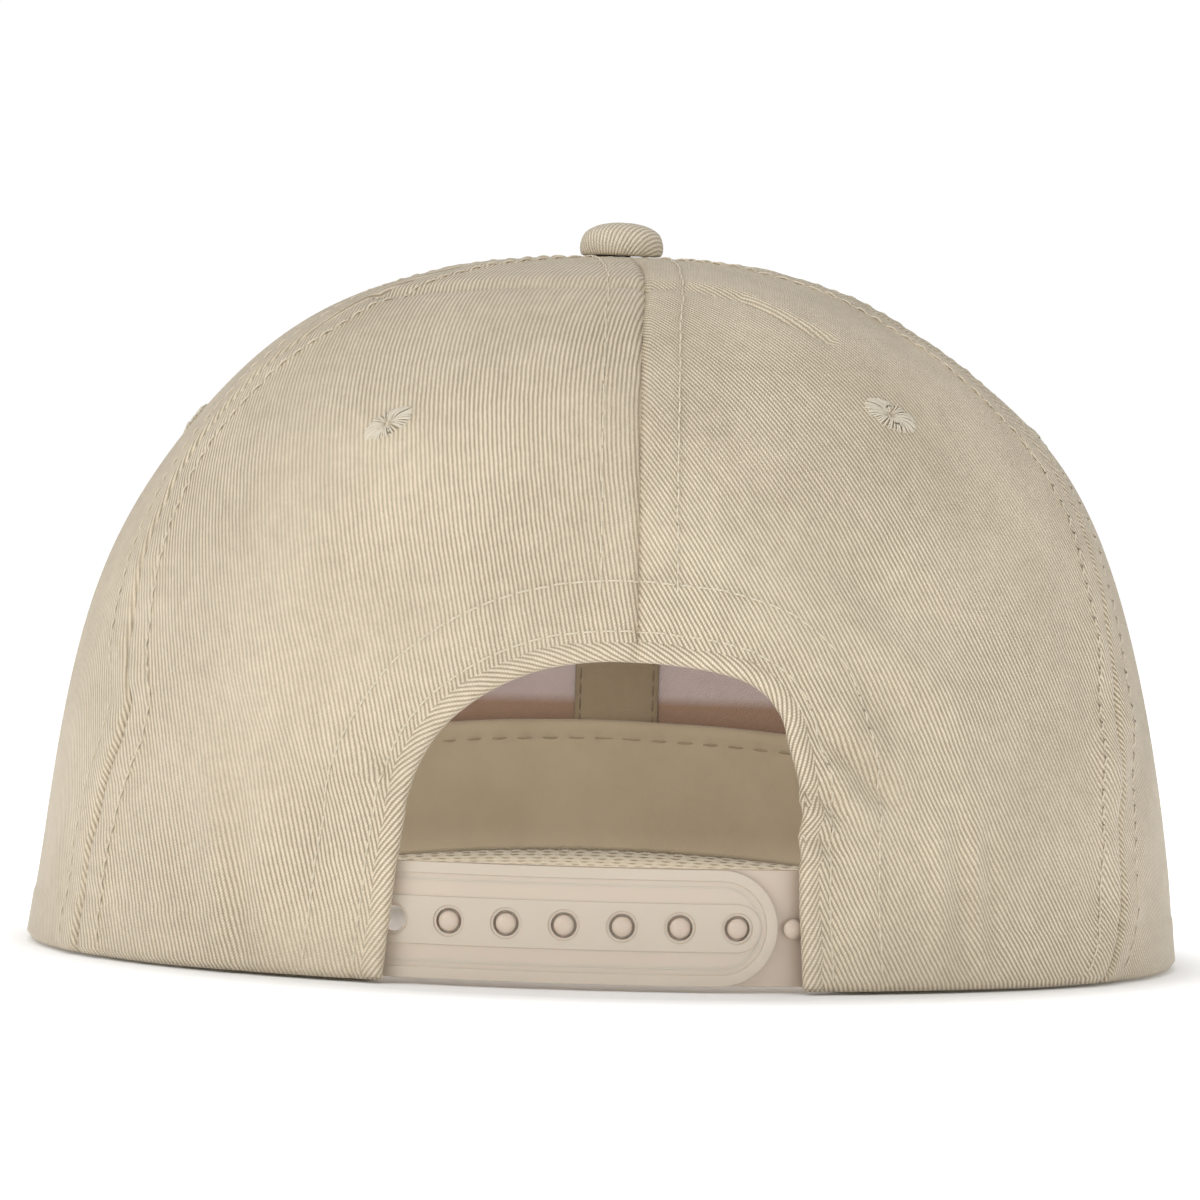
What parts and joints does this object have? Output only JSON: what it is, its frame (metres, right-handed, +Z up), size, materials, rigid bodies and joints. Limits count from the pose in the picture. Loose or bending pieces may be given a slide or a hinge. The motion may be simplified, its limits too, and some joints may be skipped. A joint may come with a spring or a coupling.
{
  "type": "baseball cap",
  "caption": "Structured baseball cap with a curved visor, covered top button, sewn eyelets and an arched back opening closed by a plastic snap strap.",
  "frame": {"origin": "centre of the head opening, on the surface that the cap stands on", "axes": "+Z up through the crown, -Y towards the front of the visor, +Y towards the back opening, +X towards the wearer's left"},
  "size_m": [0.204, 0.2358, 0.1293],
  "materials": {
    "twill": "satin twill weave",
    "tape": "matt twill tape",
    "backing": "matt stiffened mesh",
    "padding": "matt felt",
    "thread": "satin thread",
    "board": "matt",
    "snap_plastic": "soft gloss moulded",
    "button_metal": "plain"
  },
  "bodies": {
    "cap": {"back_left_panel": "twill", "back_right_panel": "twill", "side_left_panel": "twill", "side_right_panel": "twill", "front_left_panel": "twill", "front_right_panel": "twill", "front_left_backing": "backing", "front_right_backing": "backing", "back_left_seam_tape": "tape", "back_right_seam_tape": "tape", "front_left_seam_tape": "tape", "front_right_seam_tape": "tape", "centre_seam_tape": "tape", "arch_facing": "tape", "sweatband_core": "padding", "sweatband_facing": "tape", "visor_board": "board", "visor_top_cover": "twill", "visor_under_cover": "twill", "button_cover": "twill", "button_shell": "button_metal", "button_tack": "button_metal", "back_left_eyelet": "thread", "back_right_eyelet": "thread", "side_left_eyelet": "thread", "side_right_eyelet": "thread", "front_left_eyelet": "thread", "front_right_eyelet": "thread", "hole_strap_tab": "snap_plastic", "peg_strap_tab": "snap_plastic"},
    "hole_strap": {"hole_strap": "snap_plastic"},
    "peg_strap": {"peg_strap": "snap_plastic"}
  },
  "joints": [
    {"name": "hole_strap_swing", "type": "hinge", "parent": "cap", "child": "hole_strap", "pos_m": [0.03369, 0.07536, 0.0103], "axis": [0, 0, -1], "range_deg": [0, 80]},
    {"name": "peg_strap_swing", "type": "hinge", "parent": "cap", "child": "peg_strap", "pos_m": [-0.03549, 0.07342, 0.0103], "axis": [0, 0, -1], "range_deg": [0, 35]}
  ]
}
